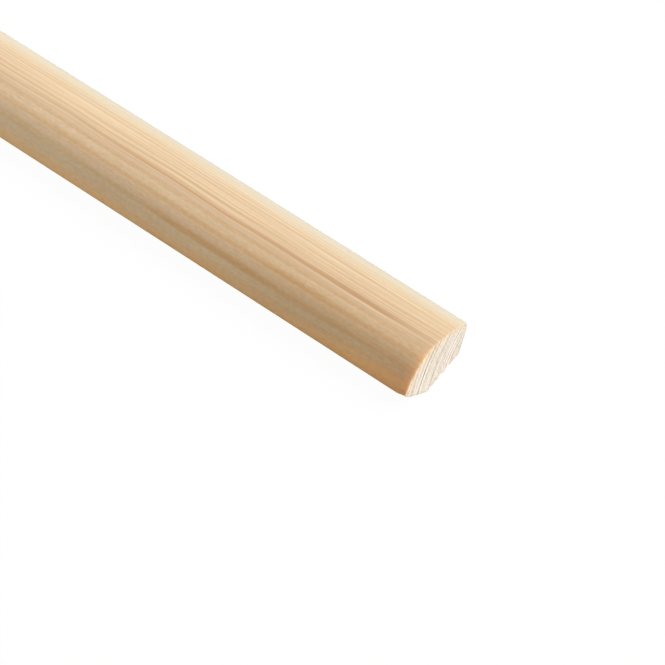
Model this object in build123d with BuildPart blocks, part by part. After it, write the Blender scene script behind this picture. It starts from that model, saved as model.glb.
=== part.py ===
"""Pine quadrant moulding: one planed length of quarter-round trim with its back corner taken off.

The length lies on its back relief, round face up, as it comes to rest when it is put down loose.
X runs along the length, Y across it and Z up. The origin is under the middle, on the surface it lies on.
"""

import math
import os

from build123d import *

# Driving dimensions, in millimetres
length = 2400.0  # stock length, sawn square at both ends
leg = 18.0  # floor face and wall face, each from the corner they would meet in to its front arris
relief_leg = 9.0  # how much of each leg the back relief takes off
arris_radius = 0.6  # sanded rounding of the four long edges

# The floor and wall faces would meet this far below the relief, at the centre of the round face
corner_depth = relief_leg / math.sqrt(2)

# The section is drawn on the right-hand end, from that corner: local x runs along the floor face
# and local y along the wall face, so both faces lean out at 45 degrees
section_plane = Plane(origin=(length / 2, 0, -corner_depth), x_dir=(0, -1, 1), z_dir=(-1, 0, 0))

with BuildPart() as moulding:
    with BuildSketch(section_plane) as section:
        with BuildLine():
            Line((relief_leg, 0), (leg, 0))
            CenterArc((0, 0), leg, start_angle=0, arc_size=90)
            Line((0, leg), (0, relief_leg))
            Line((0, relief_leg), (relief_leg, 0))
        make_face()
        fillet(section.vertices(), arris_radius)
    extrude(amount=length)

moulding.part.label = "moulding"

os.makedirs("parts", exist_ok=True)
export_step(moulding.part, "parts/moulding.step")
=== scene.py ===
import math

import bpy
from mathutils import Matrix, Vector


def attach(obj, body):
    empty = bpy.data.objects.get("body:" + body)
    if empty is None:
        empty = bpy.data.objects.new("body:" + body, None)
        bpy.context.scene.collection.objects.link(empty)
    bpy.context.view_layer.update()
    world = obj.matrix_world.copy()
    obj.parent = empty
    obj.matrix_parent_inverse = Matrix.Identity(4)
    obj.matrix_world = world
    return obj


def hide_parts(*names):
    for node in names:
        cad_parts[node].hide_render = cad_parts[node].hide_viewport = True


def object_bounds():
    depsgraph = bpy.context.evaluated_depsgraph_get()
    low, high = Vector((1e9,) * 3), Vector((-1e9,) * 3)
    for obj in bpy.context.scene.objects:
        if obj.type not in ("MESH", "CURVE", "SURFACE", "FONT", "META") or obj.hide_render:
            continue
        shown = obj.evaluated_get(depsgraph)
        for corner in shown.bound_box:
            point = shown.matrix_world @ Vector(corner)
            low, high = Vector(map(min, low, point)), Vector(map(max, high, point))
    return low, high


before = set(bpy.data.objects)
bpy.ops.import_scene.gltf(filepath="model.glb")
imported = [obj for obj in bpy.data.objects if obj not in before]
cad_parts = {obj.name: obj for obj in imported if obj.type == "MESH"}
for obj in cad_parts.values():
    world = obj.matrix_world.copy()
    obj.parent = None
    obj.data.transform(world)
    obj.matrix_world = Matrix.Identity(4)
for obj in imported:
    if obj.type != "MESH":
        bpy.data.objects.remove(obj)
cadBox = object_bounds()
halfLength = cadBox[1].x  # metres from the middle of the length to each cut
print("frame loaded:", ", ".join(sorted(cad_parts)))


# Small helpers for building node trees, used by the geometry and by the materials

def wire(tree, socket, value):
    if isinstance(value, bpy.types.NodeSocket):
        tree.links.new(value, socket)
    else:
        socket.default_value = value


def put(tree, kind, values=None, **settings):
    node = tree.nodes.new(kind)
    for name, value in settings.items():
        setattr(node, name, value)
    for key, value in (values or {}).items():
        wire(tree, node.inputs[key], value)
    return node


def calc(tree, operation, *values, clamp=False):
    node = put(tree, "ShaderNodeMath", operation=operation, use_clamp=clamp)
    for socket, value in zip(node.inputs, values):
        wire(tree, socket, value)
    return node.outputs[0]


def vectorCalc(tree, operation, *values, output="Vector"):
    node = put(tree, "ShaderNodeVectorMath", dict(enumerate(values)), operation=operation)
    return node.outputs[output]


def span(tree, value, low, high, toLow=0.0, toHigh=1.0, smooth=True):
    node = put(tree, "ShaderNodeMapRange", {"Value": value, "From Min": low, "From Max": high,
                                            "To Min": toLow, "To Max": toHigh})
    node.interpolation_type = "SMOOTHSTEP" if smooth else "LINEAR"
    return node.outputs["Result"]


def opaque(colour):
    return colour if isinstance(colour, bpy.types.NodeSocket) else (*colour, 1.0)


def blendColour(tree, factor, first, second, blend="MIX"):
    node = put(tree, "ShaderNodeMix", data_type="RGBA", blend_type=blend)
    wire(tree, node.inputs["Factor"], factor)
    colours = [s for s in node.inputs if s.type == "RGBA"]
    wire(tree, colours[0], opaque(first))
    wire(tree, colours[1], opaque(second))
    return [s for s in node.outputs if s.type == "RGBA"][0]


def grain(tree, source, scale, detail):
    stretched = put(tree, "ShaderNodeMapping", {"Vector": source, "Scale": scale}).outputs[0]
    return put(tree, "ShaderNodeTexNoise", {"Vector": stretched, "Scale": 1.0, "Detail": detail}).outputs


def tidyTree(tree, columns=9, step=(190, -190)):
    for i, node in enumerate(tree.nodes):
        node.location = (step[0] * (i % columns), step[1] * (i // columns))


def blankMaterial(name):
    material = bpy.data.materials.new(name)
    material.use_nodes = True
    material.node_tree.nodes.clear()
    return material, material.node_tree


# Growth rings: the board was cut so that its rings run nearly along the wall face.
# Ring radii and how far they stray are in mm, places along the length in metres
growth = {
    "pith": (0.02686, -0.03024),  # y and z of the tree's middle, in metres
    "innerEdge": 32.4,  # radius where the rings begin
    "evenRings": 9,  # the inner ones are all alike
    "evenWidth": 1.0,
    "evenBold": (0.15, 0.35),  # on the long faces and on a cut
    "rings": (  # outer edge of each ring after those, and how bold it is on both
        (42.4, 0.2, 0.1), (43.25, 0.35, 0.2), (44.0, 0.45, 0.2), (44.9, 0.5, 0.6), (45.7, 0.25, 0.1),
        (46.2, 0.25, 0.1), (47.05, 0.5, 0.15), (47.8, 0.52, 0.65), (49.2, 1.17, 0.75), (50.45, 0.4, 0.32),
        (51.95, 0.7, 0.38), (53.2, 0.8, 0.42), (54.4, 0.7, 0.1)),
    "wander": 0.16,  # how far a ring strays from its circle
    "wanderGrain": ((14.0, 42.0, 42.0), 1.0),  # waves per metre along x, y and z, and their detail
    "ripple": 0.28,
    "rippleGrain": ((50.0, 70.0, 70.0), 0.6),
    "calm": 0.4,  # share of the ripple that is left in the outer rings
    "calmFrom": (48.0, 52.0),
    "drift": 1.4,  # slow change along the whole length
    "driftAt": 1.1,  # where there is none of it
    "driftTurn": 1.6,  # radians per metre
    "lift": 0.27,  # the outer rings bend towards the right-hand cut
    "liftReach": (0.045, 0.002),  # metres from it where that starts, and where it is full
    "liftInner": 0.35,  # share of it in the inner rings
    "liftFrom": (44.8, 46.8),
    "fibreGrain": ((20.0, 3.7, 0.0), 2.0),  # fine lines: along the length, and across the rings per mm
    "cutFibreGrain": ((120.0, 3.2, 0.0), 1.0),
    "mottleGrain": ((22.0, 150.0, 150.0), 2.0),
    "toothGrain": ((700.0, 1700.0, 1700.0), 1.0),
    "darkens": (0.2, 0.78),  # shares of a ring's width between which it turns to latewood
    "ends": (0.8, 1.0),  # and between which that ends
    "narrow": (1.2, 2.0),  # latewood is narrower in the outer rings
    "narrowFrom": (49.5, 50.5),
    "lineNarrow": 5.0,  # and narrowest on a cut
    "mottled": (0.6, 1.4),  # how bold it is in weak and strong patches
    "mottledFrom": (0.3, 0.7),  # levels of the mottle for those
    "patchRing": (48.0, 49.6),  # the boldest ring
    "patch": (0.25, 0.8, 0.25),  # how much latewood comes and goes along x inside it, in it and outside it
    "patchSoft": 0.2,
    "patchLength": 0.2,  # metres from one bold stretch to the next
    "patchAt": 1.158,  # one of them
    "fade": 0.6,  # how much paler the outer latewood gets towards a cut
    "fadeFrom": (47.6, 48.4),
    "fadeReach": 0.035,
}


def ringLayout():
    edges = [growth["innerEdge"] + i * growth["evenWidth"] for i in range(growth["evenRings"] + 1)]
    bold = [growth["evenBold"]] * growth["evenRings"]
    edges += [ring[0] for ring in growth["rings"]]
    bold += [ring[1:] for ring in growth["rings"]]
    return edges, bold


ringEdges, ringBold = ringLayout()


def ringPlace(radius):
    return (radius - ringEdges[0]) / (ringEdges[-1] - ringEdges[0])


# Rings wander a little along the length, drift slowly from end to end and bend near one cut
def strayingRadius(tree, place, along):
    fromPith = vectorCalc(tree, "SUBTRACT", place, (0.0, *growth["pith"]))
    inMillimetres = vectorCalc(tree, "MULTIPLY", fromPith, (0.0, 1000.0, 1000.0))
    circle = vectorCalc(tree, "LENGTH", inMillimetres, output="Value")

    def stray(name):
        wavy = grain(tree, place, *growth[name + "Grain"])["Fac"]
        return calc(tree, "MULTIPLY", calc(tree, "SUBTRACT", wavy, 0.5), growth[name] * 2)

    calmer = span(tree, circle, *growth["calmFrom"], 1.0, growth["calm"])
    fromStill = calc(tree, "SUBTRACT", along, growth["driftAt"])
    slope = calc(tree, "COSINE", calc(tree, "MULTIPLY", fromStill, growth["driftTurn"]))
    bend = span(tree, along, *[halfLength - reach for reach in growth["liftReach"]], 0.0, growth["lift"])
    strays = (
        stray("wander"),
        calc(tree, "MULTIPLY", stray("ripple"), calmer),
        calc(tree, "MULTIPLY", calc(tree, "SUBTRACT", slope, 1.0), growth["drift"]),
        calc(tree, "MULTIPLY", span(tree, circle, *growth["liftFrom"], growth["liftInner"], 1.0), bend),
    )
    radius = circle
    for amount in strays:
        radius = calc(tree, "ADD", radius, amount)
    return radius


# A curve turns the radius into a count of rings of unequal width, and a ramp holds how bold each one is
def countRings(tree, across):
    rings = len(ringBold)
    counter = put(tree, "ShaderNodeFloatCurve", {"Value": across})
    curve = counter.mapping.curves[0]
    for i, edge in enumerate(ringEdges[1:-1], 1):
        curve.points.new(ringPlace(edge), i / rings)
    for point in curve.points:
        point.handle_type = "VECTOR"
    counter.mapping.update()
    count = calc(tree, "MULTIPLY", counter.outputs[0], float(rings))
    age = calc(tree, "FRACT", count)
    ring = calc(tree, "FLOOR", count)

    midRing = calc(tree, "DIVIDE", calc(tree, "ADD", ring, 0.5), float(rings))
    strengths = put(tree, "ShaderNodeValToRGB", {"Fac": midRing})
    ramp = strengths.color_ramp
    ramp.interpolation = "CONSTANT"
    ramp.elements.remove(ramp.elements[-1])
    for i, (onLong, onCut) in enumerate(ringBold):
        stop = ramp.elements[0] if i == 0 else ramp.elements.new(i / rings)
        stop.color = (onLong, onCut, 0.0, 1.0)
    bold = put(tree, "ShaderNodeSeparateColor", {"Color": strengths.outputs["Color"]}).outputs
    return age, ring, bold[0], bold[1]


# Each ring darkens slowly to its latewood and starts again pale, more in some places than in others
def latewoodAndLine(tree, radius, along, age, boldness, cutBoldness, mottle):
    rise = span(tree, age, *growth["darkens"])
    fall = span(tree, age, *growth["ends"], 1.0, 0.0)
    fromPatch = calc(tree, "SUBTRACT", along, growth["patchAt"])
    wave = calc(tree, "COSINE", calc(tree, "MULTIPLY", fromPatch, math.tau / growth["patchLength"]))
    swing, *further = growth["patch"]
    for edge, beyond in zip(growth["patchRing"], further):
        swing = span(tree, radius, edge - growth["patchSoft"], edge + growth["patchSoft"], swing, beyond)
    patches = calc(tree, "MULTIPLY_ADD", wave, swing, 1.0)
    nearCut = span(tree, calc(tree, "ABSOLUTE", along), halfLength - growth["fadeReach"], halfLength)
    fade = span(tree, radius, *growth["fadeFrom"], 0.0, -growth["fade"])
    faded = calc(tree, "MULTIPLY_ADD", nearCut, fade, 1.0)
    mottled = calc(tree, "MULTIPLY", span(tree, mottle, *growth["mottledFrom"], *growth["mottled"]), fall)

    late = calc(tree, "POWER", rise, span(tree, radius, *growth["narrowFrom"], *growth["narrow"]))
    for factor in (boldness, patches, faded, mottled):
        late = calc(tree, "MULTIPLY", late, factor)
    line = calc(tree, "POWER", rise, growth["lineNarrow"])
    for factor in (cutBoldness, mottled):
        line = calc(tree, "MULTIPLY", line, factor)
    return late, line


def growthRings():
    tree = bpy.data.node_groups.new("growthRings", "ShaderNodeTree")
    tree.interface.new_socket("Place", in_out="INPUT", socket_type="NodeSocketVector")
    for name in ("Latewood", "Ring Line", "Ring Shade", "Across", "Fibre", "Cut Fibre", "Mottle", "Tooth"):
        tree.interface.new_socket(name, in_out="OUTPUT", socket_type="NodeSocketFloat")
    tree.interface.new_socket("Fibre Colour", in_out="OUTPUT", socket_type="NodeSocketColor")
    place = put(tree, "NodeGroupInput").outputs["Place"]
    parts = put(tree, "ShaderNodeSeparateXYZ", {"Vector": place}).outputs
    radius = strayingRadius(tree, place, parts["X"])
    across = span(tree, radius, ringEdges[0], ringEdges[-1], smooth=False)
    age, ring, boldness, cutBoldness = countRings(tree, across)

    # Fine lines that follow the rings, broad soft patches and the tooth of the planed surface
    alongRings = put(tree, "ShaderNodeCombineXYZ", {"X": parts["X"], "Y": radius}).outputs[0]
    alongCut = put(tree, "ShaderNodeCombineXYZ", {"X": parts["Z"], "Y": radius}).outputs[0]
    fibre = grain(tree, alongRings, *growth["fibreGrain"])
    mottle = grain(tree, place, *growth["mottleGrain"])["Fac"]
    late, line = latewoodAndLine(tree, radius, parts["X"], age, boldness, cutBoldness, mottle)
    shade = put(tree, "ShaderNodeTexWhiteNoise", {"W": ring}, noise_dimensions="1D").outputs["Value"]
    put(tree, "NodeGroupOutput", {
        "Latewood": late,
        "Ring Line": line,
        "Ring Shade": shade,
        "Across": across,
        "Fibre": fibre["Fac"],
        "Cut Fibre": grain(tree, alongCut, *growth["cutFibreGrain"])["Fac"],
        "Mottle": mottle,
        "Tooth": grain(tree, place, *growth["toothGrain"])["Fac"],
        "Fibre Colour": fibre["Color"],
    })
    tidyTree(tree)
    print("growth rings:", len(ringBold), "from", round(ringEdges[0], 1), "to", round(ringEdges[-1], 1), "mm")
    return tree


ringGroup = growthRings()


# What the two wood finishes share

def startWood(name):
    material, tree = blankMaterial(name)
    place = put(tree, "ShaderNodeTexCoord").outputs["Object"]
    rings = put(tree, "ShaderNodeGroup", {"Place": place}, node_tree=ringGroup).outputs
    return material, tree, place, rings


def spreadAround(tree, value, amount):
    return calc(tree, "ADD", calc(tree, "MULTIPLY", calc(tree, "SUBTRACT", value, 0.5), amount), 1.0)


def streaked(tree, wood, shade, tint):
    away = calc(tree, "SUBTRACT", shade, 1.0)
    streaks = vectorCalc(tree, "MULTIPLY_ADD", away, tint, (1.0, 1.0, 1.0))
    return blendColour(tree, 1.0, wood, streaks, "MULTIPLY")


def finishWood(tree, look, wood, relief, roughness):
    bump = put(tree, "ShaderNodeBump", {"Height": relief, "Strength": look["bump"],
                                        "Distance": look["bumpDepth"]})
    shader = put(tree, "ShaderNodeBsdfPrincipled", {"Base Color": wood, "Roughness": roughness,
                                                    "Specular IOR Level": look["specular"],
                                                    "Normal": bump.outputs["Normal"]})
    outlet = put(tree, "ShaderNodeOutputMaterial", {"Surface": shader.outputs[0]})
    tidyTree(tree)
    tree.nodes.active = outlet


# Planed long grain: pale at the inner rings, tan at the outer ones, whose colour also holds painted shade
longGrain = {
    "toneAndShade": (  # ring radius in mm, and the colour there: the wood's own tone, darkened towards the floor arris partly by painted shade, and lifted again at the arris itself partly by painted bounce light
        (38.6, (0.83, 0.70, 0.51)), (39.8, (0.80, 0.715, 0.56)), (41.6, (0.83, 0.71, 0.51)),
        (43.4, (0.838, 0.64, 0.415)), (47.6, (0.778, 0.565, 0.348)), (49.4, (0.708, 0.515, 0.328)),
        (51.1, (0.705, 0.512, 0.316)), (52.2, (0.64, 0.459, 0.288)), (53.3, (0.578, 0.435, 0.267)),
        (53.6, (0.635, 0.435, 0.242)), (53.85, (0.75, 0.48, 0.228))),
    "latewoodTint": (0.82, 0.685, 0.57),
    "innerLatewoodTint": (0.82, 0.74, 0.70),
    "outerLatewoodTint": (0.90, 0.77, 0.585),  # latewood turns from brown to orange in the outer rings
    "innerFrom": (48.1, 47.9),  # ring radii between which each kind begins
    "outerFrom": (49.4, 50.6),  # where the fine lines give way to tooth as well
    "creamFrom": (43.0, 42.2),  # and between which the lines fade out in the pale inner wood
    "ringShade": 0.05,
    "fibreShade": 0.7,
    "plainFibreShade": 0.21,  # where those lines fade or give way
    "mottleShade": 0.11,
    "toothShade": 0.10,
    "outerToothShade": 0.30,
    "shadeTint": (0.68, 1.0, 1.25),  # a darker streak is a redder one too
    "outerShadeTint": (0.8, 1.0, 1.3),
    "hueSpread": (0.08, 0.05, 0.2),  # and no two streaks are quite alike in colour
    "outerHue": 0.25,  # share of that spread in the outer rings
    "heartTint": (0.80, 0.71, 0.59),  # the outer rings are browner towards a cut
    "heartReach": (0.17, -0.06),  # metres from the cut where that starts, and where it would be full
    "heartFrom": (48.4, 52.6),
    "burnTint": (1.0, 0.92, 0.905),  # and the saw browned the corner at the floor arris
    "burnReach": (0.02, 0.002),
    "burnFrom": (52.0, 53.4),
    "cutTint": (1.28, 1.10, 0.98),  # light that soaks in through the cut
    "cutReach": (0.0034, 0.0003),
    "cutFrom": (48.0, 52.0),
    "edgeTint": (1.11, 1.30, 1.46),  # and a painted highlight on the last millimetre
    "edgeReach": (0.0011, 0.0002),
    "edgeFrom": (47.0, 50.5),
    "arrisFrom": (53.85, 53.6),  # both show less at the floor arris
    "arrisShare": 0.5,
    "fleckAt": (1.1752, -0.0011, 0.01156),  # a nick on the round face
    "fleckSize": (0.0008, 0.00035, 0.00035),
    "fleckFade": (1.0, 0.4),  # shares of that size between which it appears
    "fleckTint": (1.12, 1.16, 1.22),
    "latewoodRelief": 0.6,  # how far each stands out, as a share of the bump's depth
    "fibreRelief": 0.5,
    "bump": 0.25,
    "bumpDepth": 0.0001,
    "roughness": (0.56, 0.46),  # of the pale wood and of latewood
    "specular": 0.35,
}


def longGrainMaterial():
    material, tree, place, rings = startWood("pineLongGrain")
    # This ramp holds the wood's tone together with painted shade on the outer rings and painted bounce light
    # at the floor arris
    toneAndShade = put(tree, "ShaderNodeValToRGB", {"Fac": rings["Across"]})
    stops = toneAndShade.color_ramp.elements
    for i, (radius, colour) in enumerate(longGrain["toneAndShade"]):
        stop = stops[i] if i < 2 else stops.new(1.0)  # a new ramp has two
        stop.position = ringPlace(radius)
        stop.color = (*colour, 1.0)

    def fromRing(name):
        return span(tree, rings["Across"], *map(ringPlace, longGrain[name + "From"]))

    outer = fromRing("outer")
    tint = longGrain["latewoodTint"]
    for name, share in (("inner", fromRing("inner")), ("outer", outer)):
        tint = blendColour(tree, share, tint, longGrain[name + "LatewoodTint"])
    wood = blendColour(tree, rings["Latewood"], toneAndShade.outputs["Color"], tint, "MULTIPLY")

    shade = spreadAround(tree, rings["Ring Shade"], longGrain["ringShade"])
    plainer = calc(tree, "MAXIMUM", outer, fromRing("cream"))
    lined = span(tree, plainer, 0.0, 1.0, longGrain["fibreShade"], longGrain["plainFibreShade"])
    toothed = span(tree, outer, 0.0, 1.0, longGrain["toothShade"], longGrain["outerToothShade"])
    for name, amount in (("Fibre", lined), ("Mottle", longGrain["mottleShade"]), ("Tooth", toothed)):
        shade = calc(tree, "MULTIPLY", shade, spreadAround(tree, rings[name], amount))
    streakTint = blendColour(tree, outer, longGrain["shadeTint"], longGrain["outerShadeTint"])
    wood = streaked(tree, wood, shade, streakTint)
    leastHue = [1.0 - 0.5 * spread for spread in longGrain["hueSpread"]]
    hues = vectorCalc(tree, "MULTIPLY_ADD", rings["Fibre Colour"], longGrain["hueSpread"], leastHue)
    hued = span(tree, outer, 0.0, 1.0, 1.0, longGrain["outerHue"], smooth=False)
    wood = blendColour(tree, hued, wood, hues, "MULTIPLY")

    # Towards each saw cut the outer rings turn browner, the last few millimetres glow with painted light, and
    # the last one carries a painted highlight
    fromMiddle = calc(tree, "ABSOLUTE", put(tree, "ShaderNodeSeparateXYZ", {"Vector": place}).outputs["X"])
    fromCut = calc(tree, "SUBTRACT", halfLength, fromMiddle)
    # Shares of each tint: browner outer rings, the browned corner, painted light soaking in through the cut
    # and a painted highlight on its last millimetre
    shares = {name: calc(tree, "MULTIPLY", span(tree, fromCut, *longGrain[name + "Reach"]), fromRing(name))
              for name in ("heart", "burn", "cut", "edge")}
    awayFromArris = span(tree, fromRing("arris"), 0.0, 1.0, longGrain["arrisShare"], 1.0, smooth=False)
    for name in ("cut", "edge"):
        shares[name] = calc(tree, "MULTIPLY", shares[name], awayFromArris)
    aside = vectorCalc(tree, "SUBTRACT", place, longGrain["fleckAt"])
    aside = vectorCalc(tree, "DIVIDE", aside, longGrain["fleckSize"])
    aside = vectorCalc(tree, "LENGTH", aside, output="Value")
    shares["fleck"] = span(tree, aside, *longGrain["fleckFade"])
    for name, share in shares.items():
        wood = blendColour(tree, share, wood, longGrain[name + "Tint"], "MULTIPLY")

    relief = calc(tree, "ADD", calc(tree, "MULTIPLY", rings["Latewood"], longGrain["latewoodRelief"]),
                  calc(tree, "MULTIPLY", rings["Fibre"], longGrain["fibreRelief"]))
    roughness = span(tree, rings["Latewood"], 0.0, 1.0, *longGrain["roughness"])
    finishWood(tree, longGrain, wood, relief, roughness)
    print("long grain material made")
    return material


# Sawn ends: open pores scatter the light, so they look paler and greyer than the long faces
endGrain = {
    "base": (0.865, 0.77, 0.654),
    "outerBase": (0.925, 0.83, 0.705),  # the outer rings are a little paler
    "outerFrom": (45.0, 47.5),  # between these ring radii
    "hazeTint": (0.95, 0.93, 0.90),  # the soft darkening before each line
    "lineTint": (0.38, 0.31, 0.24),
    "rimTint": (1.04, 0.95, 0.80),  # warmer wood along the round face
    "rimWidth": 0.0024,
    "cornerTint": (0.72, 0.55, 0.38),  # worn corner at the floor arris
    "cornerReach": (0.0009, 0.0004),
    "frayTint": (0.80, 0.78, 0.76),  # frayed fibres along the back edges
    "frayFrom": (0.93, 0.99),  # shares of the way out from the middle of the cut
    "poreShade": 0.4,
    "poreGrain": ((2100.0, 2100.0, 2100.0), 1.0),  # waves per metre along x, y and z, and their detail
    "sawShade": 0.3,  # fine marks that the saw left from top to bottom
    "sawGrain": ((0.0, 1900.0, 260.0), 1.0),
    "fibreShade": 1.2,
    "shadeTint": (0.7, 1.0, 1.4),
    "bump": 0.3,
    "bumpDepth": 0.0001,
    "roughness": 0.75,
    "specular": 0.2,
}


def endGrainMaterial():
    material, tree, place, rings = startWood("pineEndGrain")
    outer = span(tree, rings["Across"], *map(ringPlace, endGrain["outerFrom"]))
    wood = blendColour(tree, outer, endGrain["base"], endGrain["outerBase"])
    for mask, tint in (("Latewood", "hazeTint"), ("Ring Line", "lineTint")):
        wood = blendColour(tree, rings[mask], wood, endGrain[tint], "MULTIPLY")

    # Open pores, saw marks and fine lines along the rings
    pores = grain(tree, place, *endGrain["poreGrain"])["Fac"]
    sawMarks = grain(tree, place, *endGrain["sawGrain"])["Fac"]
    shade = spreadAround(tree, rings["Cut Fibre"], endGrain["fibreShade"])
    for marks, amount in ((pores, "poreShade"), (sawMarks, "sawShade")):
        shade = calc(tree, "MULTIPLY", shade, spreadAround(tree, marks, endGrain[amount]))
    wood = streaked(tree, wood, shade, endGrain["shadeTint"])

    # Distances from the corner that the round face is struck from, and from the floor arris
    leg = stock["leg"]
    corner = (0.0, 0.0, stock["reliefLeg"] / math.sqrt(2))
    fromCorner = vectorCalc(tree, "MULTIPLY_ADD", place, (0.0, 1.0, 1.0), corner)
    reach = vectorCalc(tree, "LENGTH", fromCorner, output="Value")
    rim = span(tree, reach, leg - endGrain["rimWidth"], leg)
    arris = (0.0, -leg * math.sqrt(0.5), leg * math.sqrt(0.5))
    arrisReach = vectorCalc(tree, "DISTANCE", fromCorner, arris, output="Value")
    wayOut = put(tree, "ShaderNodeAttribute", attribute_name="capRing").outputs["Fac"]
    backEdge = calc(tree, "SUBTRACT", 1.0, rim)
    shares = {
        "rim": rim,
        "corner": span(tree, arrisReach, *endGrain["cornerReach"]),
        "fray": calc(tree, "MULTIPLY", span(tree, wayOut, *endGrain["frayFrom"]), backEdge),
    }
    for name, share in shares.items():
        wood = blendColour(tree, share, wood, endGrain[name + "Tint"], "MULTIPLY")

    relief = calc(tree, "ADD", pores, rings["Latewood"])
    finishWood(tree, endGrain, wood, relief, endGrain["roughness"])
    print("end grain material made")
    return material


# The length itself, in metres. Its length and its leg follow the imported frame
stock = {
    "length": 2 * halfLength,
    "reliefLeg": 0.009,
    "arrisRadius": 0.0006,
    "arcPoints": (12, 160, 8),  # on an arris, on the round face and on an edge of the relief
    "around": 220,  # points round the section
    "along": 240,  # rows along the length, closer together near the ends
    "endRows": 26,  # rings across each sawn end
    "edgeRows": 3,  # of those, rings over the edge of the round face, which look like it
    "endMiddle": 0.47,  # where the rings close, as a share of the leg along both faces
    "easeRadius": 0.0003,  # rounding of the cut's edge, full along the lower part of the round face
    "easeLeast": 0.3,  # share of it elsewhere
    "easeFrom": (0.45, 0.75),  # shares of the leg along the floor face where it goes from least to full
    "wornCorner": 0.0006,  # how far the corner at the floor arris is worn back
    "wallWear": 0.5,  # share of that at the wall arris
    "wornReach": 0.0024,
    "wornArris": 0.0005,  # and how far the floor arris itself is rubbed down there
    "arrisReach": 0.002,
    "arrisWay": (-0.9, 0.45),  # which way it goes, along the floor face and the wall face
    "sawDepth": 0.00003,
    "sawPitch": 0.0014,
    "sawWaver": 5.0,  # radians that the fuzz moves the saw marks by
    "fuzzDepth": 0.00006,
    "fuzzGrain": 900.0,  # waves per metre
    "chipDepth": 0.0006,  # tear-out along the back edge of the cut
    "chipGrain": 680.0,
    "chipFrom": (0.46, 0.6),  # levels of that grain between which a chip starts
    "chipEdge": (0.9, 0.995),  # shares of the way out from the middle of the cut
    "chipCorner": (0.0004, 0.0016),  # metres from the floor face and the wall face
    "chipBack": (0.55, 0.65),  # shares of the leg, both faces' ways added up, between which chips stop
    "roundFrom": (0.98, 1.1),  # likewise, between which the round side begins
    "roundLook": 0.95,  # and past which the edge rings look like the round face
}
stock["leg"] = cadBox[1].z + stock["reliefLeg"] / math.sqrt(2)


# Section, x along the floor face and y along the wall face: five arcs, joined by straight runs
def sectionCurve(tree, leg, relief, corner):
    rankStep = 1000.0  # more than an arc has points

    def arcAt(order, x, y, radius, start, sweep, points):
        arc = put(tree, "GeometryNodeCurveArc", {"Resolution": points, "Radius": radius,
                                                 "Start Angle": start, "Sweep Angle": sweep}, mode="RADIUS")
        middle = put(tree, "ShaderNodeCombineXYZ", {"X": x, "Y": y}).outputs[0]
        moved = put(tree, "GeometryNodeSetPosition", {"Geometry": arc.outputs["Curve"], "Offset": middle})
        dots = put(tree, "GeometryNodeCurveToPoints", {"Curve": moved.outputs[0]}, mode="EVALUATED")
        rank = calc(tree, "ADD", put(tree, "GeometryNodeInputIndex").outputs[0], order * rankStep)
        ranked = put(tree, "GeometryNodeStoreNamedAttribute",
                     {"Geometry": dots.outputs["Points"], "Name": "rank", "Value": rank},
                     data_type="FLOAT", domain="POINT")
        return ranked.outputs["Geometry"]

    inner = calc(tree, "SUBTRACT", leg, corner)
    across = calc(tree, "SQRT", calc(tree, "SUBTRACT", calc(tree, "MULTIPLY", inner, inner),
                                     calc(tree, "MULTIPLY", corner, corner)))
    lean = calc(tree, "ARCTAN2", corner, across)
    quarter, eighth = math.pi / 2, math.pi / 4
    turn = calc(tree, "ADD", lean, quarter)
    roundSweep = calc(tree, "SUBTRACT", quarter, calc(tree, "MULTIPLY", lean, 2.0))
    high = calc(tree, "ADD", relief, calc(tree, "MULTIPLY", corner, math.tan(eighth / 2)))
    onArris, onRound, onRelief = stock["arcPoints"]
    arcs = (
        (across, corner, corner, -quarter, turn, onArris),  # floor arris
        (0.0, 0.0, leg, lean, roundSweep, onRound),
        (corner, across, corner, calc(tree, "SUBTRACT", quarter, lean), turn, onArris),  # wall arris
        (corner, high, corner, math.pi, eighth, onRelief),  # relief edge on the wall face
        (high, corner, corner, math.pi + eighth, eighth, onRelief),  # relief edge on the floor face
    )
    outline = put(tree, "GeometryNodeJoinGeometry")
    for order, arc in enumerate(arcs):
        tree.links.new(arcAt(order, *arc), outline.inputs[0])
    rank = put(tree, "GeometryNodeInputNamedAttribute", {"Name": "rank"}, data_type="FLOAT")
    drawn = put(tree, "GeometryNodePointsToCurves", {"Points": outline.outputs[0],
                                                     "Weight": rank.outputs["Attribute"]})
    return put(tree, "GeometryNodeSetSplineCyclic", {"Geometry": drawn.outputs[0], "Cyclic": True}).outputs[0]


# A sheet of rows and columns that remember which they are
def sheetOfRows(tree, given):
    rows = calc(tree, "ADD", given["along"], calc(tree, "MULTIPLY", given["endRows"], 2.0))
    last = calc(tree, "SUBTRACT", rows, 1.0)
    sheet = put(tree, "GeometryNodeMeshGrid", {"Size X": last, "Size Y": 1.0, "Vertices X": rows,
                                               "Vertices Y": calc(tree, "ADD", given["around"], 1.0)})
    position = put(tree, "GeometryNodeInputPosition").outputs[0]
    spot = put(tree, "ShaderNodeSeparateXYZ", {"Vector": position}).outputs
    rowField = calc(tree, "ROUND", calc(tree, "ADD", spot["X"], calc(tree, "MULTIPLY", last, 0.5)))
    turnField = calc(tree, "ADD", spot["Y"], 0.5)
    held = put(tree, "GeometryNodeCaptureAttribute", {"Geometry": sheet.outputs["Mesh"]}, domain="POINT")
    held.capture_items.new("FLOAT", "row")
    held.capture_items.new("FLOAT", "turn")
    wire(tree, held.inputs["row"], rowField)
    wire(tree, held.inputs["turn"], turnField)
    return held.outputs["Geometry"], held.outputs["row"], held.outputs["turn"], last


def fromArris(tree, leg, floorPlace, wallPlace):
    apart = put(tree, "ShaderNodeCombineXYZ", {"X": calc(tree, "SUBTRACT", floorPlace, leg), "Y": wallPlace})
    return vectorCalc(tree, "LENGTH", apart.outputs[0], output="Value")


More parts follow.
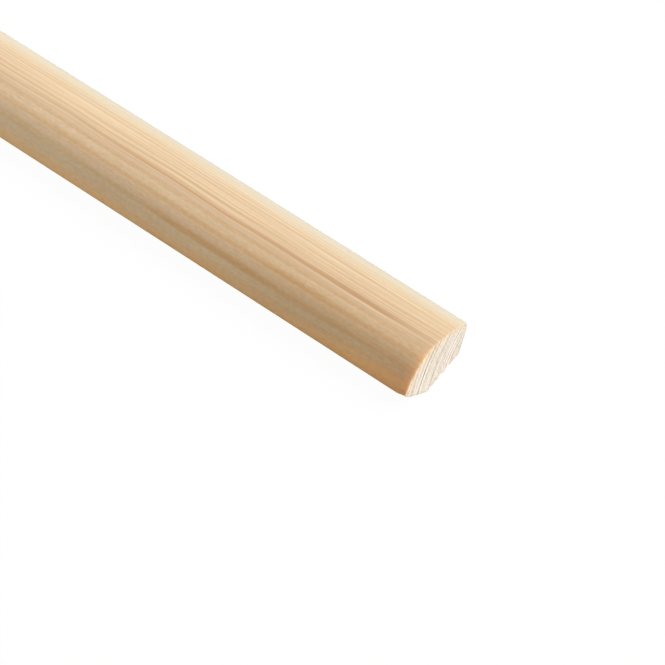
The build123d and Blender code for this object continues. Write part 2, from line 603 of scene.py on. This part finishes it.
# The saw leaves fine marks across each end, some fuzz and a little tear-out along the back edge
def sawnDepth(tree, given, floorWay, wallWay, sideways, upward, capRing, bothWays):
    inSection = put(tree, "ShaderNodeCombineXYZ", {"Y": sideways, "Z": upward}).outputs[0]
    noises = [put(tree, "ShaderNodeTexNoise", {"Vector": inSection, "Scale": given[name], "Detail": 2.0})
              for name in ("fuzzGrain", "chipGrain")]
    fuzz, torn = [noise.outputs["Fac"] for noise in noises]
    turns = calc(tree, "DIVIDE", calc(tree, "MULTIPLY", sideways, math.tau), given["sawPitch"])
    marks = calc(tree, "SINE", calc(tree, "ADD", turns, calc(tree, "MULTIPLY", fuzz, given["sawWaver"])))
    chips = span(tree, torn, *stock["chipFrom"])
    nearEdge = span(tree, capRing, *stock["chipEdge"])
    backSide = span(tree, bothWays, *stock["chipBack"], 1.0, 0.0)
    offCorner = span(tree, calc(tree, "MINIMUM", floorWay, wallWay), *stock["chipCorner"])
    for share in (nearEdge, backSide, offCorner):
        chips = calc(tree, "MULTIPLY", chips, share)
    depth = calc(tree, "MULTIPLY", calc(tree, "MULTIPLY_ADD", marks, 0.5, 0.5), given["sawDepth"])
    depth = calc(tree, "MULTIPLY_ADD", fuzz, given["fuzzDepth"], depth)
    return calc(tree, "MULTIPLY_ADD", chips, given["chipDepth"], depth)


# The cut's edge is eased, most along the round face, and its corners at the arrises are worn
def wornDepth(tree, given, depth, floorWay, wallWay, capRing, bothWays, middle):
    leg = given["leg"]
    roundSide = span(tree, bothWays, *stock["roundFrom"])
    lowerRound = span(tree, floorWay, *[calc(tree, "MULTIPLY", leg, share) for share in stock["easeFrom"]])
    most = calc(tree, "MULTIPLY", roundSide, lowerRound)
    ease = calc(tree, "MULTIPLY", given["easeRadius"],
                span(tree, most, 0.0, 1.0, given["easeLeast"], 1.0, smooth=False))
    inset = calc(tree, "MULTIPLY", calc(tree, "SUBTRACT", 1.0, capRing), middle)
    overEdge = calc(tree, "SUBTRACT", 1.0, calc(tree, "DIVIDE", inset, ease, clamp=True))
    bow = calc(tree, "SQRT", calc(tree, "SUBTRACT", 1.0, calc(tree, "MULTIPLY", overEdge, overEdge)))
    depth = calc(tree, "ADD", depth, calc(tree, "MULTIPLY", ease, calc(tree, "SUBTRACT", 1.0, bow)))
    for along, outward, share in ((floorWay, wallWay, 1.0), (wallWay, floorWay, given["wallWear"])):
        worn = span(tree, fromArris(tree, leg, along, outward), 0.0, given["wornReach"], share, 0.0)
        depth = calc(tree, "MULTIPLY_ADD", worn, given["wornCorner"], depth)
    return depth


# Map for the baked finish: the long faces fill the upper part, the two ends lie side by side below
def bakeMap(tree, given, sawn, turned, lengthShare, lengthways, sideways, upward):
    longWidth, longHeight, longFoot = 0.994, 0.77, 0.226  # shares of the map
    endScale, endFoot = 0.32, 0.006
    lengthPart = calc(tree, "DIVIDE", lengthways, given["length"])
    alongMap = put(tree, "ShaderNodeCombineXYZ", {
        "X": calc(tree, "MULTIPLY_ADD", lengthPart, longWidth, 0.5),
        "Y": calc(tree, "MULTIPLY_ADD", turned, longHeight, longFoot)})
    endMiddle = calc(tree, "MULTIPLY_ADD", lengthShare, 0.5, 0.25)
    endMap = put(tree, "ShaderNodeCombineXYZ", {
        "X": calc(tree, "MULTIPLY_ADD", calc(tree, "DIVIDE", sideways, given["leg"]), endScale, endMiddle),
        "Y": calc(tree, "MULTIPLY_ADD", calc(tree, "DIVIDE", upward, given["leg"]), endScale, endFoot)})
    mapPlace = put(tree, "GeometryNodeSwitch", input_type="VECTOR")
    wire(tree, mapPlace.inputs["Switch"], sawn)
    wire(tree, mapPlace.inputs["False"], alongMap.outputs[0])
    wire(tree, mapPlace.inputs["True"], endMap.outputs[0])
    return mapPlace.outputs[0]


def quadrantTree():
    tree = bpy.data.node_groups.new("quadrantLength", "GeometryNodeTree")
    tree.interface.new_socket("Geometry", in_out="OUTPUT", socket_type="NodeSocketGeometry")
    kinds = {name: "Int" if isinstance(value, int) else "Float"
             for name, value in stock.items() if not isinstance(value, tuple)}
    kinds.update(longGrain="Material", endGrain="Material")
    ids = {}
    for name, kind in kinds.items():
        socket = tree.interface.new_socket(name, in_out="INPUT", socket_type="NodeSocket" + kind)
        ids[name] = socket.identifier
    given = put(tree, "NodeGroupInput").outputs
    outlet = put(tree, "NodeGroupOutput")
    leg, relief = given["leg"], given["reliefLeg"]
    section = sectionCurve(tree, leg, relief, given["arrisRadius"])
    sheet, row, turned, last = sheetOfRows(tree, given)

    # The sheet is wrapped round the section and drawn in to the middle of each end
    fromEnd = calc(tree, "MINIMUM", row, calc(tree, "SUBTRACT", last, row))
    endShare = calc(tree, "DIVIDE", fromEnd, given["endRows"], clamp=True)
    capRing = calc(tree, "SINE", calc(tree, "MULTIPLY", endShare, math.pi / 2))
    bodyRows = calc(tree, "SUBTRACT", last, calc(tree, "MULTIPLY", given["endRows"], 2.0))
    bodyShare = calc(tree, "DIVIDE", calc(tree, "SUBTRACT", row, given["endRows"]), bodyRows, clamp=True)
    swept = calc(tree, "COSINE", calc(tree, "MULTIPLY", bodyShare, math.pi))
    lengthShare = calc(tree, "MULTIPLY_ADD", swept, -0.5, 0.5)
    onSection = put(tree, "GeometryNodeSampleCurve", {"Curves": section, "Factor": turned},
                    mode="FACTOR", use_all_curves=True)
    flat = put(tree, "ShaderNodeSeparateXYZ", {"Vector": onSection.outputs["Position"]}).outputs

    # Near each cut the floor arris is rubbed down
    nearestShare = calc(tree, "MINIMUM", lengthShare, calc(tree, "SUBTRACT", 1.0, lengthShare))
    nearestCut = calc(tree, "MULTIPLY", nearestShare, given["length"])
    rubbed = calc(tree, "MULTIPLY", span(tree, nearestCut, 0.0, given["wornReach"], 1.0, 0.0),
                  span(tree, fromArris(tree, leg, flat["X"], flat["Y"]), 0.0, given["arrisReach"], 1.0, 0.0))
    rubbed = calc(tree, "MULTIPLY", rubbed, given["wornArris"])
    middle = calc(tree, "MULTIPLY", leg, given["endMiddle"])

    def drawnIn(edge, rubShare):
        worn = calc(tree, "MULTIPLY_ADD", rubbed, rubShare, edge)
        out = calc(tree, "MULTIPLY", calc(tree, "SUBTRACT", worn, middle), capRing)
        return calc(tree, "ADD", middle, out)

    floorWay, wallWay = map(drawnIn, (flat["X"], flat["Y"]), stock["arrisWay"])
    bothWays = calc(tree, "DIVIDE", calc(tree, "ADD", floorWay, wallWay), leg)
    sideways = calc(tree, "MULTIPLY", calc(tree, "SUBTRACT", wallWay, floorWay), math.sqrt(0.5))
    upward = calc(tree, "MULTIPLY", calc(tree, "SUBTRACT", calc(tree, "ADD", wallWay, floorWay), relief),
                  math.sqrt(0.5))
    depth = sawnDepth(tree, given, floorWay, wallWay, sideways, upward, capRing, bothWays)
    depth = wornDepth(tree, given, depth, floorWay, wallWay, capRing, bothWays, middle)
    toCut = calc(tree, "SUBTRACT", calc(tree, "MULTIPLY", given["length"], 0.5), depth)
    lengthways = calc(tree, "MULTIPLY", calc(tree, "MULTIPLY_ADD", lengthShare, 2.0, -1.0), toCut)
    final = put(tree, "ShaderNodeCombineXYZ", {"X": lengthways, "Y": sideways, "Z": upward}).outputs[0]
    shaped = put(tree, "GeometryNodeSetPosition", {"Geometry": sheet, "Position": final})

    # Which faces are sawn ends
    onRound = calc(tree, "GREATER_THAN", bothWays, given["roundLook"])
    cutRows = calc(tree, "SUBTRACT", given["endRows"], calc(tree, "MULTIPLY", given["edgeRows"], onRound))
    firstCut = calc(tree, "LESS_THAN", row, cutRows)
    otherCut = calc(tree, "GREATER_THAN", row, calc(tree, "SUBTRACT", last, cutRows))
    isEnd = put(tree, "GeometryNodeCaptureAttribute", {"Geometry": shaped.outputs[0]}, domain="FACE")
    isEnd.capture_items.new("FLOAT", "sawn")
    wire(tree, isEnd.inputs["sawn"], calc(tree, "ADD", firstCut, otherCut))
    sawn = calc(tree, "GREATER_THAN", isEnd.outputs["sawn"], 0.1)  # at least one corner of the face is

    mapPlace = bakeMap(tree, given, sawn, turned, lengthShare, lengthways, sideways, upward)
    mapped = put(tree, "GeometryNodeStoreNamedAttribute",
                 {"Geometry": isEnd.outputs["Geometry"], "Name": "OFBake", "Value": mapPlace},
                 data_type="FLOAT2", domain="CORNER")
    ringed = put(tree, "GeometryNodeStoreNamedAttribute",
                 {"Geometry": mapped.outputs[0], "Name": "capRing", "Value": capRing},
                 data_type="FLOAT", domain="POINT")
    closed = put(tree, "GeometryNodeMergeByDistance", {"Geometry": ringed.outputs[0], "Distance": 1e-7})
    smooth = put(tree, "GeometryNodeSetShadeSmooth", {"Geometry": closed.outputs[0], "Shade Smooth": True},
                 domain="FACE")
    solid = put(tree, "GeometryNodeRealizeInstances", {"Geometry": smooth.outputs[0]})
    planed = put(tree, "GeometryNodeSetMaterial", {"Geometry": solid.outputs[0],
                                                   "Material": given["longGrain"]})
    finished = put(tree, "GeometryNodeSetMaterial", {"Geometry": planed.outputs[0], "Selection": sawn,
                                                     "Material": given["endGrain"]})
    wire(tree, outlet.inputs["Geometry"], finished.outputs[0])
    tidyTree(tree)
    return tree, ids


def quadrantLength():
    tree, ids = quadrantTree()
    piece = bpy.data.objects.new("pineQuadrant", bpy.data.meshes.new("pineQuadrant"))
    bpy.context.scene.collection.objects.link(piece)
    maker = piece.modifiers.new("quadrant length", "NODES")
    maker.node_group = tree
    values = {**stock, "longGrain": longGrainMaterial(), "endGrain": endGrainMaterial()}
    for name, identifier in ids.items():
        maker[identifier] = values[name]
    depsgraph = bpy.context.evaluated_depsgraph_get()
    mesh = bpy.data.meshes.new_from_object(piece.evaluated_get(depsgraph), preserve_all_data_layers=True,
                                           depsgraph=depsgraph)
    piece.modifiers.remove(maker)
    piece.data = mesh
    mesh.name = "pineQuadrant"
    print("quadrant length:", len(mesh.vertices), "points,", len(mesh.polygons), "faces")
    return piece


moulding = quadrantLength()
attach(moulding, "root")
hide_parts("moulding")


# Studio: white floor, an even white surround, one broad key light and a weak fill across from it
studio = {
    "floorSize": 120.0,
    "floorColour": (0.62, 0.62, 0.62),
    "floorShow": 0.965,  # how much of the floor's look is plain white; the rest keeps the shadow
    "white": (1.0, 1.0, 1.0),
    "surround": 0.30,
    "lamps": (  # name, where it shines from, strength, spread in degrees
        ("key", (0.58, 0.44, 0.68), 2.75, 35.0),
        ("fill", (0.25, -0.62, 0.74), 0.35, 60.0),
    ),
}


def seenRays(tree):
    paths = put(tree, "ShaderNodeLightPath").outputs
    seen = calc(tree, "MAXIMUM", paths["Is Camera Ray"], paths["Is Glossy Ray"])
    return calc(tree, "MAXIMUM", seen, paths["Is Transmission Ray"])


def makeFloor():
    material, tree = blankMaterial("paleFloor")
    seen = seenRays(tree)
    colour = blendColour(tree, seen, studio["floorColour"], studio["white"])
    matte = put(tree, "ShaderNodeBsdfDiffuse", {"Color": colour})
    plain = put(tree, "ShaderNodeEmission", {"Color": opaque(studio["white"]), "Strength": 1.0})
    show = calc(tree, "MULTIPLY", seen, studio["floorShow"])
    mix = put(tree, "ShaderNodeMixShader", {0: show, 1: matte.outputs[0], 2: plain.outputs[0]})
    put(tree, "ShaderNodeOutputMaterial", {"Surface": mix.outputs[0]})
    tidyTree(tree)

    half = studio["floorSize"] / 2
    corners = [(-half, -half, 0), (half, -half, 0), (half, half, 0), (-half, half, 0)]
    mesh = bpy.data.meshes.new("floor")
    mesh.from_pydata(corners, [], [(0, 1, 2, 3)])
    mesh.materials.append(material)
    floor = bpy.data.objects.new("floor", mesh)
    bpy.context.scene.collection.objects.link(floor)


def makeSurround():
    world = bpy.data.worlds.new("studio")
    world.use_nodes = True
    tree = world.node_tree
    tree.nodes.clear()
    level = span(tree, seenRays(tree), 0.0, 1.0, studio["surround"], 1.0, smooth=False)
    surround = put(tree, "ShaderNodeBackground", {"Color": opaque(studio["white"]), "Strength": level})
    put(tree, "ShaderNodeOutputWorld", {"Surface": surround.outputs[0]})
    bpy.context.scene.world = world


def makeLamps():
    for name, side, strength, spread in studio["lamps"]:
        light = bpy.data.lights.new(name, "SUN")
        light.energy = strength
        light.angle = math.radians(spread)
        lamp = bpy.data.objects.new(name, light)
        lamp.rotation_euler = Vector(side).to_track_quat("Z", "Y").to_euler()
        bpy.context.scene.collection.objects.link(lamp)


makeFloor()
makeSurround()
makeLamps()
print("studio made")

# Camera, from the sawn end and above, rolled so that the length runs down to the right
view = {
    "from": (1.74389, -0.27116, 0.96635),
    "look": (-0.49832, 0.22893, -0.83622),
    "up": (-0.46797, 0.74092, 0.48171),
    "lens": 247.8,
    "sensor": 36.0,
    "clip": (0.05, 300.0),
}


def makeCamera():
    data = bpy.data.cameras.new("camera")
    data.lens = view["lens"]
    data.sensor_width = view["sensor"]
    data.clip_start, data.clip_end = view["clip"]
    look = Vector(view["look"]).normalized()
    right = look.cross(Vector(view["up"])).normalized()
    up = right.cross(look)
    turn = Matrix((right, up, -look)).transposed().to_4x4()
    camera = bpy.data.objects.new("camera", data)
    camera.matrix_world = Matrix.Translation(view["from"]) @ turn
    bpy.context.scene.collection.objects.link(camera)
    bpy.context.scene.camera = camera
    print("camera set")


makeCamera()

bpy.context.scene.view_settings.view_transform = "Standard"

bpy.context.view_layer.update()
